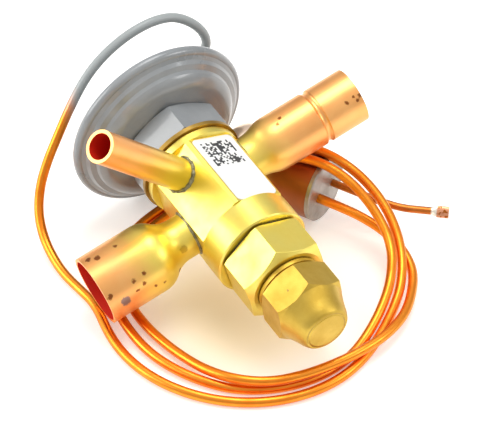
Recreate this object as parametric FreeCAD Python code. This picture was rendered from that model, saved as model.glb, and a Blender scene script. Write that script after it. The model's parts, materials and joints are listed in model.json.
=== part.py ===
import FreeCAD, Part
import math
import os

# Thermal expansion valve lying on a flat surface, all sizes in millimetres.
# The valve is drawn in its own upright frame and then laid down as one rigid body:
# Z of that frame is the main axis and points at the power head,
# X points out of the outlet fitting, and Z = 0 is the height of the outlet axis.

# Resting pose of the valve on the surface Z = 0
axis_dip_deg = 5.2
outlet_drop_deg = 14.4
centre_x = -1.2
centre_y = -2.1

# Clearances
running_fit = 0.06
seat_gap = 0.05
thread_gap = 0.05
soft_gap = 0.3

# Body bar
bar_radius = 12.5
collar_radius = 12.05
flat_distance = 10.95
body_top = 16.4
flat_top = 14.2
flat_bottom = -8.3
body_bottom = -15.9
body_edge = 0.35
chamber_radius = 6.5
chamber_top = 2.0
chamber_bottom = -10.2
head_bore_radius = 8.0
head_bore_floor = 13.6
passage_radius = 1.2
passage_distance = 7.0

# Ports: azimuth about the main axis, and height along it
outlet_azimuth = 0.0
outlet_height = 0.0
inlet_azimuth = 180.0
inlet_height = 9.5
equalizer_azimuth = 57.5
equalizer_height = 9.4
label_azimuth = 120.0
bare_flat_azimuths = [240.0, 300.0]
socket_floor = 8.7
inlet_drill_radius = 3.0
inlet_drill_end = -1.5
outlet_drill_radius = 4.6
outlet_drill_end = 4.2

# Outlet fitting, made for 15.9 mm tube
outlet_socket_radius = 7.98
outlet_wall = 0.8
outlet_neck_radius = 5.4
outlet_neck_end = 14.0
outlet_shoulder = 22.8
outlet_reach = 37.45

# Inlet fitting, made for 12.7 mm tube
inlet_socket_radius = 6.38
inlet_wall = 0.6
inlet_neck_radius = 5.6
inlet_neck_end = 12.6
inlet_shoulder = 19.6
inlet_stop = 31.5
inlet_stop_depth = 0.5
inlet_stop_half_width = 0.9
inlet_reach = 42.3

# Equalizer tube, made for 6.35 mm tube
equalizer_bore_radius = 3.2
equalizer_wall = 0.8
equalizer_reach = 41.4

# Braze rings
braze_width = 0.78
braze_rise = 0.9
braze_hollow_share = 0.3

# Seat, pin and carrier
seat_radius = 3.5
seat_top = 6.0
port_radius = 1.6
feed_radius = 2.0
pin_travel = 0.9
pin_shank_radius = 1.4
pin_head_radius = 2.1
pin_head_bottom = -1.2
pin_tip_radius = 0.6
pin_tip_rise = 1.3
carrier_top = -3.4
carrier_thickness = 3.2
carrier_boss_radius = 3.6
carrier_boss_length = 3.0
pin_depth = 3.0

# Push rods and buffer plate
rod_radius = 0.95
rod_offset = 5.0
buffer_thickness = 1.3

# Superheat spring
spring_mean_radius = 4.8
spring_wire_radius = 0.6
spring_turns = 5.5

# Spring seat and adjusting stem
spring_seat_thickness = 2.8
spring_seat_top = -17.6
spring_seat_boss_radius = 3.5
spring_seat_boss_length = 2.0
stem_thread_radius = 2.5
stem_top = -12.6
stem_collar_radius = 4.6
stem_collar_length = 1.1
stem_radius = 3.0
stem_square = 4.2
stem_square_top = -36.0
stem_end = -39.6

# Bottom nut
nut_flats = 20.2
nut_corner_azimuth = 28.0
nut_top = -16.3
nut_corner_end = -25.6
nut_bottom = -27.0
nut_bottom_radius = 9.3
nut_spigot_radius = 8.5
nut_chamber_radius = 5.9
nut_floor = -24.6
cap_thread_radius = 6.9
cap_thread_end = -34.6
stuffing_radius = 4.7
stuffing_top = -30.2
packing_height = 2.2
follower_height = 3.0
follower_slot_width = 1.0
follower_slot_depth = 1.2
housing_gasket_radius = 10.0

# Seal cap
cap_flats = 16.9
cap_corner_azimuth = 38.0
cap_ring_radius = 8.2
cap_ring_height = 1.0
cap_groove_radius = 7.7
cap_groove_height = 0.5
cap_top_chamfer = 0.9
cap_corner_end = -36.2
cap_cone_radius = 8.5
cap_cone_end = -37.1
cap_nose_mid_radius = 7.45
cap_nose_mid = -39.5
cap_nose_waist_radius = 6.6
cap_nose_waist = -42.0
cap_nose_radius = 6.1
cap_nose_edge = -43.0
cap_nose_round = 0.3
cap_nose_round_drop = 0.4
cap_face_radius = 5.0
cap_end = -43.8
cap_thread_depth = 8.6
cap_relief_radius = 3.7
cap_relief_end = -41.0

# Power head
gasket_thickness = 1.1
gasket_radius = 13.2
hub_inset = 1.05
hub_flats = 2 * (bar_radius - hub_inset)
hub_corner_azimuth = 36.0
hub_height = 9.0
hub_top = body_top + gasket_thickness + hub_height
hub_bore_radius = 6.4
hub_neck_radius = 9.5
hub_neck_length = 1.6
hub_chamfer = 0.9
rim_radius = 23.5
rim_roll_radius = 1.4
rim_lip_depth = 0.4
rim_lip_width = 0.8
casing_sheet = 1.15
casing_pan_rise = 0.4
casing_step_rise = 2.2
casing_step_height = hub_top + casing_step_rise
casing_step_bulge = 0.5
casing_step_sag = 0.3
casing_inner_bulge = 0.4
casing_bend_width = 0.4
casing_bend_rise = 0.8
casing_inner_bend_width = 0.2
casing_ridge_inset = 2.9
casing_ridge_radius = rim_radius - casing_ridge_inset
casing_step_inset = 1.7
casing_step_radius = casing_ridge_radius - casing_step_inset
casing_pan_inset = 3.9
casing_pan_radius = casing_step_radius - casing_pan_inset
casing_ridge_lift = 1.4
casing_ridge_height = casing_step_height + casing_ridge_lift
casing_ridge_width = 0.6
casing_ridge_rise = 0.9
casing_inner_ridge_inset = 0.8
clamp_rise = 2.8
clamp_height = casing_ridge_height + clamp_rise
rim_drop = 0.1
rim_height = clamp_height + rim_drop
clamp_width = 2.2
rim_wall = 1.3
clamp_outer_radius = rim_radius - rim_wall
clamp_inner_radius = clamp_outer_radius - clamp_width
buffer_inset = 5.2
buffer_radius = clamp_inner_radius - buffer_inset
diaphragm_thickness = 0.25
diaphragm_wave = 0.35
diaphragm_flat_margin = 0.2
dome_radius = 6.0
dome_rise = 4.9
dome_height = rim_height + rim_roll_radius + dome_rise
dome_foot_margin = 0.6
dome_bulge = 1.2
dome_inner_bulge = 0.7
dome_lift = 0.8
ferrule_radius = 3.0
ferrule_flange_radius = 4.2
ferrule_rise = 2.3
ferrule_top = dome_height + ferrule_rise
ferrule_flange_thickness = 0.7
ferrule_flange_slope = 0.3
ferrule_taper = 0.8

# Label
label_width = 11.4
label_top = 13.9
label_bottom = -8.1
label_thickness = 0.15
label_corner = 1.3

# Inlet strainer
strainer_sheet = 0.3
strainer_tip_radius = 1.6
strainer_length = 13.0
strainer_start = 14.0
strainer_collar_inset = 1.0

# Sensing bulb, lying on the surface: its heading points at the plug
bulb_radius = 8.6
bulb_x = -5.8
bulb_y = 29.1
bulb_heading_deg = 27.0
bulb_straight = 23.0
bulb_corner = 5.5
bulb_nose = 0.5
bulb_wall = 0.9
bulb_edge = 0.3
plug_rim = 1.0
plug_seat_depth = 3.0
plug_hole_side = 3.35
plug_hole_drop = 0.6
tube_seat_depth = 1.0

# Capillary and charge tube
capillary_radius = 1.2
charge_radius = 0.95
hole_gap = 0.05
bend_share = 0.45
crimp_half_width = 1.45
crimp_half_thickness = 0.55
crimp_flare = 1.2
crimp_length = 2.8
crimp_tilt_deg = 45.0

# Route of the capillary from the head to the start of the coil
head_route = [
    (-39.4, -2.1, 23.9), (-44.4, -2.1, 24.3), (-47.3, 0.9, 25.4), (-47.3, 8.0, 26.4),
    (-44.9, 14.5, 28.0), (-43.0, 18.2, 32.8), (-43.5, 16.4, 39.0), (-45.3, 10.9, 43.7),
    (-45.5, 4.8, 45.2), (-45.3, -2.5, 44.4), (-45.7, -9.6, 40.6), (-45.3, -15.5, 35.8),
    (-44.1, -20.7, 29.6), (-42.6, -25.2, 23.6), (-41.5, -29.1, 17.8), (-39.6, -32.4, 12.6),
    (-36.4, -34.9, 7.9), (-31.9, -36.3, 4.5), (-26.4, -37.0, 2.5), (-20.2, -37.2, 1.4),
    (-13.6, -36.5, 1.3), (-6.8, -35.8, 1.3)]

# Loose coil: turned angle, radius and height of its stations
coil_x = 11.8
coil_y = -2.0
coil_start_deg = 258.2
coil_step_deg = 15.0
coil_stations = [
    (0, 37.2, 1.3), (45, 35.4, 1.3), (75, 34.4, 1.3), (105, 33.2, 1.3), (120, 32.3, 1.3), (135, 31.8, 1.3),
    (150, 32.6, 1.8), (165, 35.1, 3.2), (180, 37.5, 6.4), (195, 38.7, 11.2), (210, 38.7, 15.6),
    (225, 38.2, 18.5), (240, 37.2, 19.1), (255, 36.5, 18.0), (270, 36.3, 10.6), (285, 36.9, 5.0),
    (300, 38.1, 2.6), (315, 37.9, 1.4), (330, 35.9, 1.3), (360, 32.2, 1.3), (375, 31.3, 1.3),
    (390, 30.6, 1.3), (405, 30.4, 1.3), (420, 30.7, 1.3), (435, 30.4, 1.3), (465, 29.8, 1.3),
    (480, 29.4, 1.3), (495, 29.2, 1.9), (510, 30.3, 3.4), (525, 32.5, 5.2), (540, 34.9, 7.8),
    (555, 35.2, 12.0), (570, 34.4, 16.8), (585, 33.7, 19.1), (600, 33.3, 18.2), (615, 33.2, 15.2),
    (630, 33.6, 8.6), (645, 34.5, 4.6), (660, 35.5, 2.2), (675, 34.9, 1.3), (690, 32.7, 1.3),
    (705, 30.3, 1.3), (720, 27.9, 1.3), (735, 26.5, 1.3), (750, 26.4, 1.6), (765, 28.2, 3.0),
    (780, 30.2, 4.2), (795, 30.8, 4.2), (810, 30.3, 4.1), (825, 30.5, 4.1), (840, 31.9, 4.1),
    (855, 34.1, 3.7), (870, 36.3, 3.0), (885, 37.9, 2.8)]

# Route of the capillary from the coil to the bulb, before the last two points
bulb_route = [(24.0, 34.7, 3.4), (18.3, 35.7, 4.2), (12.0, 34.7, 5.6), (6.6, 32.1, 7.1)]
bulb_lead_out = 6.4

# Charge tube beyond its first point in the plug
charge_route = [(4.0, 37.86, 8.0), (9.4, 41.4, 8.0), (14.28, 47.2, 8.0)]

origin = FreeCAD.Vector(0, 0, 0)
z_axis = FreeCAD.Vector(0, 0, 1)


def point(radius, height):
    """A point of a turned outline, in the plane through the axis."""
    return FreeCAD.Vector(radius, 0, height)


def chain(stops):
    """Edges through a list of stops: a (r, z) pair is a corner, and a
    pair of pairs is an arc through the first to the second."""
    edges = []
    here = point(*stops[0])
    for stop in stops[1:]:
        if isinstance(stop[0], tuple):
            middle = point(*stop[0])
            there = point(*stop[1])
            edges.append(Part.Arc(here, middle, there).toShape())
        else:
            there = point(*stop)
            edges.append(Part.LineSegment(here, there).toShape())
        here = there
    return edges


def turned(stops):
    """A solid of revolution about Z with the outline through the stops."""
    first = stops[0]
    last = stops[-1] if not isinstance(stops[-1][0], tuple) else stops[-1][1]
    edges = chain(stops)
    if math.dist(first, last) > 1e-9:
        edges.append(Part.LineSegment(point(*last), point(*first)).toShape())
    face = Part.Face(Part.Wire(edges))
    return face.revolve(origin, z_axis, 360)


def rod(radius, bottom, top):
    """A round bar on the main axis between two heights."""
    return Part.makeCylinder(radius, top - bottom, FreeCAD.Vector(0, 0, bottom))


def hexagon_bar(flats, corner_azimuth, bottom, top):
    """A hexagonal bar on the main axis, with one corner at the azimuth."""
    corner_radius = flats / math.sqrt(3)
    corners = []
    for index in range(7):
        angle = math.radians(corner_azimuth + 60 * index)
        x = corner_radius * math.cos(angle)
        y = corner_radius * math.sin(angle)
        corners.append(FreeCAD.Vector(x, y, bottom))
    face = Part.Face(Part.makePolygon(corners))
    return face.extrude(FreeCAD.Vector(0, 0, top - bottom))


def on_port(shape, azimuth, height):
    """Turns a shape drawn along +Z into a port direction of the valve."""
    moved = shape.copy()
    direction = FreeCAD.Vector(math.cos(math.radians(azimuth)), math.sin(math.radians(azimuth)), 0)
    moved.Placement = FreeCAD.Placement(FreeCAD.Vector(0, 0, height), FreeCAD.Rotation(z_axis, direction))
    return moved


def swage_arcs(radius_a, start, radius_b, end):
    """Two equal tangent arcs that lead from one radius to another."""
    middle = ((radius_a + radius_b) / 2, (start + end) / 2)
    run = end - start
    rise = radius_b - radius_a
    bend = (run * run + rise * rise) / (4 * abs(rise))
    half_angle = math.asin(run / 2 / bend) / 2
    side = math.copysign(bend * (1 - math.cos(half_angle)), rise)
    along = bend * math.sin(half_angle)
    first = ((radius_a + side, start + along), middle)
    second = ((radius_b - side, end - along), (radius_b, end))
    return [first, second]


def reversed_arcs(arcs, start):
    """The same arcs walked from their far end back to the start."""
    first, second = arcs
    return [(second[0], first[1]), (first[0], start)]


def make_outlet_fitting():
    """Copper socket swaged out from a narrow neck."""
    outer = outlet_socket_radius + outlet_wall
    bore = outlet_neck_radius - outlet_wall
    outside = swage_arcs(outlet_neck_radius, outlet_neck_end, outer, outlet_shoulder)
    inside = swage_arcs(bore, outlet_neck_end, outlet_socket_radius, outlet_shoulder)
    stops = [(bore, socket_floor), (outlet_neck_radius, socket_floor), (outlet_neck_radius, outlet_neck_end)]
    stops += outside
    stops += [(outer, outlet_reach), (outlet_socket_radius, outlet_reach)]
    stops += [(outlet_socket_radius, outlet_shoulder)]
    stops += reversed_arcs(inside, (bore, outlet_neck_end))
    return on_port(turned(stops), outlet_azimuth, outlet_height)


def make_inlet_fitting():
    """Copper socket with a rolled bead that stops the joined tube."""
    outer = inlet_socket_radius + inlet_wall
    bore = inlet_neck_radius - inlet_wall
    bead_start = inlet_stop - inlet_stop_half_width
    bead_end = inlet_stop + inlet_stop_half_width
    outside = swage_arcs(inlet_neck_radius, inlet_neck_end, outer, inlet_shoulder)
    inside = swage_arcs(bore, inlet_neck_end, inlet_socket_radius, inlet_shoulder)
    stops = [(bore, socket_floor), (inlet_neck_radius, socket_floor), (inlet_neck_radius, inlet_neck_end)]
    stops += outside
    stops += [(outer, bead_start), ((outer - inlet_stop_depth, inlet_stop), (outer, bead_end))]
    stops += [(outer, inlet_reach), (inlet_socket_radius, inlet_reach), (inlet_socket_radius, bead_end)]
    stops += [((inlet_socket_radius - inlet_stop_depth, inlet_stop), (inlet_socket_radius, bead_start))]
    stops += [(inlet_socket_radius, inlet_shoulder)]
    stops += reversed_arcs(inside, (bore, inlet_neck_end))
    return on_port(turned(stops), inlet_azimuth, inlet_height)


def make_equalizer_tube():
    """Straight tube stub that senses the pressure after the evaporator."""
    outer = equalizer_bore_radius + equalizer_wall
    bore = rod(equalizer_bore_radius, socket_floor, equalizer_reach)
    tube = rod(outer, socket_floor, equalizer_reach).cut(bore)
    return on_port(tube, equalizer_azimuth, equalizer_height)


def make_braze_ring(tube_radius, azimuth, height, body):
    """Fillet of solder where a tube enters its flat."""
    foot = tube_radius + braze_width
    hollow_radius = tube_radius + braze_hollow_share * braze_width
    hollow = (hollow_radius, flat_distance + braze_hollow_share * braze_rise)
    top = (tube_radius, flat_distance + braze_rise)
    ring = turned([(tube_radius, flat_distance), (foot, flat_distance), (hollow, top)])
    return on_port(ring, azimuth, height).cut(body)


def make_valve_body():
    """Bar with milled flats between two round collars, and its drillings."""
    collar = turned([
        (0, body_bottom), (collar_radius - body_edge, body_bottom), (collar_radius, body_bottom + body_edge),
        (collar_radius, flat_bottom), (0, flat_bottom)])
    bar = turned([
        (0, flat_bottom), (bar_radius, flat_bottom), (bar_radius, body_top - body_edge),
        (bar_radius - body_edge, body_top), (0, body_top)])
    flats = [outlet_azimuth, equalizer_azimuth, label_azimuth, inlet_azimuth] + bare_flat_azimuths
    for azimuth in flats:
        cutter = Part.makeBox(
            bar_radius, 2 * bar_radius, flat_top - flat_bottom,
            FreeCAD.Vector(flat_distance, -bar_radius, flat_bottom))
        cutter.rotate(origin, z_axis, azimuth)
        bar = bar.cut(cutter)
    body = bar.fuse(collar)
    body = body.cut(rod(chamber_radius, chamber_bottom, chamber_top))
    body = body.cut(rod(nut_spigot_radius + thread_gap, body_bottom, chamber_bottom))
    body = body.cut(rod(head_bore_radius, head_bore_floor, body_top))
    body = body.cut(rod(seat_radius + thread_gap, chamber_top, seat_top))
    body = body.cut(rod(feed_radius, seat_top, inlet_height))
    body = body.cut(port_bore(
        inlet_neck_radius, inlet_drill_radius, inlet_drill_end, inlet_azimuth, inlet_height))
    body = body.cut(port_bore(
        outlet_neck_radius, outlet_drill_radius, outlet_drill_end, outlet_azimuth, outlet_height))
    equalizer_radius = equalizer_bore_radius + equalizer_wall
    body = body.cut(port_bore(
        equalizer_radius, passage_radius, passage_distance, equalizer_azimuth, equalizer_height))
    angle = math.radians(equalizer_azimuth)
    passage_x = passage_distance * math.cos(angle)
    foot = FreeCAD.Vector(passage_x, passage_distance * math.sin(angle), equalizer_height)
    body = body.cut(Part.makeCylinder(passage_radius, body_top - equalizer_height, foot))
    for side in (1, -1):
        foot = FreeCAD.Vector(0, side * rod_offset, chamber_top)
        hole = Part.makeCylinder(rod_radius + running_fit, head_bore_floor - chamber_top, foot)
        body = body.cut(hole)
    return body.removeSplitter()


def port_bore(tube_radius, drill_radius, drill_end, azimuth, height):
    """Socket for a tube's end, with the drilling that goes on behind it."""
    socket = rod(tube_radius + thread_gap, socket_floor, 2 * bar_radius)
    drill = rod(drill_radius, drill_end, socket_floor)
    return on_port(socket.fuse(drill), azimuth, height)


def make_seat_orifice():
    """Ring with the metering port."""
    ring = rod(seat_radius, chamber_top, seat_top - seat_gap)
    return ring.cut(rod(port_radius, chamber_top, seat_top))


def make_valve_pin():
    """Needle whose cone closes the port at rest."""
    cone_run = port_radius - pin_tip_radius
    slope = cone_run / pin_tip_rise
    cone_foot = chamber_top - (pin_head_radius - port_radius + seat_gap) / slope
    return turned([
        (0, carrier_top - pin_depth), (pin_shank_radius, carrier_top - pin_depth),
        (pin_shank_radius, pin_head_bottom), (pin_head_radius, pin_head_bottom),
        (pin_head_radius, cone_foot), (pin_tip_radius, chamber_top + pin_tip_rise - seat_gap / slope),
        (0, chamber_top + pin_tip_rise - seat_gap / slope)])


def make_pin_carrier():
    """Guided disc that takes the push rods and centres the spring."""
    disc_bottom = carrier_top - carrier_thickness
    disc = rod(chamber_radius - running_fit, disc_bottom, carrier_top)
    boss = rod(carrier_boss_radius, disc_bottom - carrier_boss_length, disc_bottom)
    return disc.fuse(boss).cut(rod(pin_shank_radius, carrier_top - pin_depth, carrier_top)).removeSplitter()


def make_push_rod(side):
    """Rod from the buffer plate to the pin carrier."""
    return Part.makeCylinder(
        rod_radius, buffer_bottom() - carrier_top, FreeCAD.Vector(0, side * rod_offset, carrier_top))


def buffer_bottom():
    """Height of the buffer plate's lower face."""
    return clamp_height - soft_gap - buffer_thickness


def make_buffer_plate():
    """Stiff plate between the diaphragm and the push rods."""
    bottom = buffer_bottom()
    top = bottom + buffer_thickness
    edge = buffer_thickness / 3
    return turned([
        (0, bottom), (buffer_radius - edge, bottom), (buffer_radius, bottom + edge),
        (buffer_radius, top - edge), (buffer_radius - edge, top), (0, top)])


def make_superheat_spring():
    """Coil spring between the carrier and the spring seat."""
    top = carrier_top - carrier_thickness - spring_wire_radius - seat_gap
    bottom = spring_seat_top + spring_wire_radius + seat_gap
    height = top - bottom
    helix = Part.makeHelix(height / spring_turns, height, spring_mean_radius)
    helix.translate(FreeCAD.Vector(0, 0, bottom))
    start = FreeCAD.Vector(spring_mean_radius, 0, bottom)
    section = Part.Wire(Part.makeCircle(spring_wire_radius, start, FreeCAD.Vector(0, 1, 0)))
    return Part.Wire(helix).makePipeShell([section], True, True)


def make_spring_seat():
    """Nut that travels on the stem and carries the spring's lower end."""
    disc = rod(nut_chamber_radius - running_fit, spring_seat_top - spring_seat_thickness, spring_seat_top)
    boss = rod(spring_seat_boss_radius, spring_seat_top, spring_seat_top + spring_seat_boss_length)
    bore = rod(stem_thread_radius + running_fit, spring_seat_top - spring_seat_thickness,
               spring_seat_top + spring_seat_boss_length)
    return disc.fuse(boss).cut(bore).removeSplitter()


def make_adjusting_stem():
    """Screw with a collar that sits in the nut and a square for a key."""
    collar_bottom = nut_floor + seat_gap
    shaft = turned([
        (0, stem_square_top), (stem_radius, stem_square_top), (stem_radius, collar_bottom),
        (stem_collar_radius, collar_bottom), (stem_collar_radius, collar_bottom + stem_collar_length),
        (stem_thread_radius, collar_bottom + stem_collar_length), (stem_thread_radius, stem_top),
        (0, stem_top)])
    square = Part.makeBox(stem_square, stem_square, stem_square_top - stem_end,
                          FreeCAD.Vector(-stem_square / 2, -stem_square / 2, stem_end))
    return shaft.fuse(square.common(rod(stem_radius, stem_end, stem_square_top))).removeSplitter()


def make_stem_packing():
    """Soft ring that seals the stem."""
    bottom = stuffing_top - seat_gap - packing_height
    ring = rod(stuffing_radius - seat_gap, bottom, stuffing_top - seat_gap)
    return ring.cut(rod(stem_radius + running_fit, bottom, stuffing_top))


def make_packing_follower():
    """Slotted gland nut that squeezes the packing."""
    top = stuffing_top - 2 * seat_gap - packing_height
    bottom = top - follower_height
    ring = rod(stuffing_radius - seat_gap, bottom, top).cut(rod(stem_radius + running_fit, bottom, top))
    slot = Part.makeBox(4 * stuffing_radius, follower_slot_width, follower_slot_depth,
                        FreeCAD.Vector(-2 * stuffing_radius, -follower_slot_width / 2, bottom))
    return ring.cut(slot)


def make_bottom_nut():
    """Spring housing: a hexagon nut with a spigot at each end."""
    corner = nut_flats / math.sqrt(3)
    head = hexagon_bar(nut_flats, nut_corner_azimuth, nut_bottom, nut_top).common(turned([
        (0, nut_bottom), (nut_bottom_radius, nut_bottom), (corner, nut_corner_end),
        (corner, nut_top - body_edge), (corner - 2 * body_edge, nut_top), (0, nut_top)]))
    spigot = rod(nut_spigot_radius, nut_top, chamber_bottom - soft_gap)
    neck = turned([
        (0, cap_thread_end), (cap_thread_radius - body_edge, cap_thread_end),
        (cap_thread_radius, cap_thread_end + body_edge), (cap_thread_radius, nut_bottom), (0, nut_bottom)])
    nut = head.fuse(spigot).fuse(neck)
    nut = nut.cut(rod(nut_chamber_radius, nut_floor, chamber_bottom))
    nut = nut.cut(rod(stem_radius + running_fit, stuffing_top, nut_floor))
    nut = nut.cut(rod(stuffing_radius, cap_thread_end, stuffing_top))
    return nut.removeSplitter()


def make_housing_gasket():
    """Thin ring between the body and the bottom nut."""
    ring = rod(housing_gasket_radius, nut_top, body_bottom)
    return ring.cut(rod(nut_spigot_radius + thread_gap, nut_top, body_bottom))


def make_seal_cap():
    """Forged cap: a ring, a hexagon and a round nose with a raised end."""
    top = nut_bottom - soft_gap
    groove_top = top - cap_ring_height
    hexagon_top = groove_top - cap_groove_height
    corner = cap_flats / math.sqrt(3)
    envelope = turned([
        (0, cap_end), (cap_face_radius, cap_end),
        ((cap_nose_radius - cap_nose_round, cap_nose_edge - cap_nose_round_drop),
         (cap_nose_radius, cap_nose_edge)),
        (cap_nose_waist_radius, cap_nose_waist),
        ((cap_nose_mid_radius, cap_nose_mid), (cap_cone_radius, cap_cone_end)),
        (corner, cap_corner_end), (corner, hexagon_top - cap_top_chamfer),
        (cap_ring_radius, hexagon_top), (0, hexagon_top)])
    hexagon = hexagon_bar(cap_flats, cap_corner_azimuth, cap_end, hexagon_top)
    ring = rod(cap_ring_radius, groove_top, top).fuse(rod(cap_groove_radius, hexagon_top, groove_top))
    cap = hexagon.common(envelope).fuse(ring)
    cap = cap.cut(rod(cap_thread_radius + running_fit, top - cap_thread_depth, top))
    cap = cap.cut(rod(cap_relief_radius, cap_relief_end, top))
    return cap.removeSplitter()


def make_body_gasket():
    """Sealing ring between the head's hub and the body."""
    ring = rod(gasket_radius, body_top, body_top + gasket_thickness)
    return ring.cut(rod(head_bore_radius + thread_gap, body_top, body_top + gasket_thickness))


def make_head_hub():
    """Hexagon that screws the head into the body."""
    bottom = body_top + gasket_thickness
    corner = hub_flats / math.sqrt(3)
    hexagon = hexagon_bar(hub_flats, hub_corner_azimuth, bottom, hub_top).common(turned([
        (0, bottom), (corner - hub_chamfer, bottom), (corner, bottom + hub_chamfer / 2),
        (corner, hub_top - hub_chamfer), (corner - 2 * hub_chamfer, hub_top), (0, hub_top)]))
    neck = rod(hub_neck_radius, hub_top, hub_top + hub_neck_length)
    spigot = rod(head_bore_radius - thread_gap, head_bore_floor + soft_gap, bottom)
    hub = hexagon.fuse(neck).fuse(spigot)
    return hub.cut(rod(hub_bore_radius, head_bore_floor, hub_top + hub_neck_length)).removeSplitter()


def make_lower_casing():
    """Dish of the head, rolled over the upper casing at its rim."""
    roll_centre = rim_radius - rim_roll_radius
    hole = hub_neck_radius + thread_gap
    pan = hub_top + casing_pan_rise
    middle_radius = (casing_pan_radius + casing_step_radius) / 2 + casing_step_bulge
    step_middle = (middle_radius, (pan + casing_step_height) / 2 - casing_step_sag)
    bend_radius = casing_step_radius + casing_bend_width
    bend_top = casing_step_height + casing_bend_rise
    ridge_radius = casing_ridge_radius + casing_ridge_width
    ridge_top = casing_ridge_height + casing_ridge_rise
    inner_pan = pan + casing_sheet
    inner_step = casing_step_radius - casing_sheet / 2
    inner_top = casing_step_height + casing_sheet
    inner_radius = (casing_pan_radius + inner_step) / 2 + casing_inner_bulge
    inner_middle = (inner_radius, (inner_pan + inner_top) / 2 - casing_step_sag)
    inner_ridge = casing_ridge_radius - casing_inner_ridge_inset
    lip = rim_height + rim_roll_radius
    lip_radius = clamp_outer_radius - rim_lip_width
    return turned([
        (hole, hub_top), (casing_pan_radius, pan), (step_middle, (casing_step_radius, casing_step_height)),
        (bend_radius, bend_top), (casing_ridge_radius, casing_ridge_height),
        (ridge_radius, ridge_top), (roll_centre, rim_height - rim_roll_radius),
        ((rim_radius, rim_height), (roll_centre, lip)), (lip_radius, lip),
        (lip_radius, lip - rim_lip_depth), (clamp_outer_radius, lip - rim_lip_depth),
        (clamp_outer_radius, clamp_height), (clamp_inner_radius, clamp_height),
        (inner_ridge, casing_ridge_height + casing_sheet),
        (inner_step + casing_inner_bend_width, bend_top + casing_sheet), (inner_step, inner_top),
        (inner_middle, (casing_pan_radius, inner_pan)), (hole, hub_top + casing_sheet)])


def make_upper_casing():
    """Domed cover of the head, clamped in the rolled rim."""
    flange_bottom = clamp_height + diaphragm_thickness
    flange_top = rim_height + rim_roll_radius - rim_lip_depth - seat_gap
    flange_radius = clamp_outer_radius - seat_gap
    hole = ferrule_radius + thread_gap
    shoulder = clamp_inner_radius + dome_foot_margin
    outer_middle = (
        (shoulder + dome_radius) / 2 + dome_bulge, (flange_top + dome_height) / 2 + dome_lift)
    inner_middle = (
        (clamp_inner_radius + dome_radius) / 2 + dome_inner_bulge,
        (flange_bottom + dome_height - casing_sheet) / 2 + dome_lift)
    return turned([
        (flange_radius, flange_bottom), (flange_radius, flange_top), (shoulder, flange_top),
        (outer_middle, (dome_radius, dome_height)), (hole, dome_height), (hole, dome_height - casing_sheet),
        (dome_radius, dome_height - casing_sheet), (inner_middle, (clamp_inner_radius, flange_bottom))])


def make_diaphragm():
    """Thin disc with two round waves near its edge."""
    top = clamp_height + diaphragm_thickness
    flat_radius = buffer_radius + diaphragm_flat_margin
    quarter = (clamp_inner_radius - flat_radius) / 4
    upper = [(0, top), (flat_radius, top)]
    lower = [(clamp_outer_radius - seat_gap, clamp_height), (clamp_inner_radius, clamp_height)]
    for wave in range(2):
        start = flat_radius + 2 * wave * quarter
        upper.append(((start + quarter, top + diaphragm_wave), (start + 2 * quarter, top)))
        back = clamp_inner_radius - 2 * wave * quarter
        lower.append(((back - quarter, clamp_height + diaphragm_wave), (back - 2 * quarter, clamp_height)))
    upper.append((clamp_outer_radius - seat_gap, top))
    return turned(upper + lower + [(0, clamp_height)])


def make_capillary_ferrule():
    """Boss on the dome where the capillary enters the head."""
    foot = dome_height - casing_sheet
    flange_top = dome_height + ferrule_flange_thickness
    stops = [
        (capillary_radius + hole_gap, foot), (ferrule_radius, foot), (ferrule_radius, dome_height),
        (ferrule_flange_radius, dome_height), (ferrule_flange_radius, flange_top),
        (ferrule_radius, flange_top + ferrule_flange_slope), (ferrule_radius - ferrule_taper, ferrule_top),
        (capillary_radius + hole_gap, ferrule_top)]
    return turned(stops)


def make_identification_label():
    """Thin sticker with round corners on its flat."""
    height = label_top - label_bottom
    sheet = Part.makeBox(label_thickness, label_width, height,
                         FreeCAD.Vector(flat_distance, -label_width / 2, label_bottom))
    edges = []
    for edge in sheet.Edges:
        first, last = (vertex.Point for vertex in edge.Vertexes)
        if abs(first.x - last.x) > label_thickness / 2:
            edges.append(edge)
    sheet = sheet.makeFillet(label_corner, edges)
    sheet.rotate(origin, z_axis, label_azimuth)
    return sheet


def make_inlet_strainer():
    """Cone of gauze that stands in the inlet's neck."""
    mouth = inlet_neck_radius - inlet_wall - seat_gap
    end = strainer_start + strainer_length
    collar_end = inlet_neck_end - strainer_collar_inset
    stops = [
        (mouth - strainer_sheet, socket_floor), (mouth, socket_floor), (mouth, collar_end),
        (strainer_tip_radius + strainer_sheet, end), (0, end), (0, end - strainer_sheet),
        (strainer_tip_radius, end - strainer_sheet), (mouth - strainer_sheet, collar_end)]
    return on_port(turned(stops), inlet_azimuth, inlet_height)


def laid_down(shape):
    """Lays a piece of the upright valve on the surface, as it rests."""
    dip = math.radians(axis_dip_deg)
    head_way = FreeCAD.Vector(-math.cos(dip), 0, math.sin(dip))
    level_way = FreeCAD.Vector(0, -1, 0)
    upright = FreeCAD.Rotation(level_way, head_way.cross(level_way), head_way, "ZXY")
    turn = FreeCAD.Rotation(head_way, -outlet_drop_deg)
    moved = shape.copy()
    moved.Placement = FreeCAD.Placement(
        FreeCAD.Vector(centre_x, centre_y, centre_height()), turn.multiply(upright)).multiply(moved.Placement)
    return moved


def centre_height():
    """Height of the valve's centre with the head's rim on the surface."""
    dip = math.radians(axis_dip_deg)
    return (rim_radius - rim_roll_radius) * math.cos(dip) + rim_roll_radius - rim_height * math.sin(dip)


def on_bulb(shape):
    """Lays a piece drawn along +Z, with the plug's face at 0, as the bulb."""
    heading = math.radians(bulb_heading_deg)
    moved = shape.copy()
    direction = FreeCAD.Vector(math.cos(heading), math.sin(heading), 0)
    moved.Placement = FreeCAD.Placement(
        FreeCAD.Vector(bulb_x, bulb_y, bulb_radius), FreeCAD.Rotation(z_axis, direction))
    return moved


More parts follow.
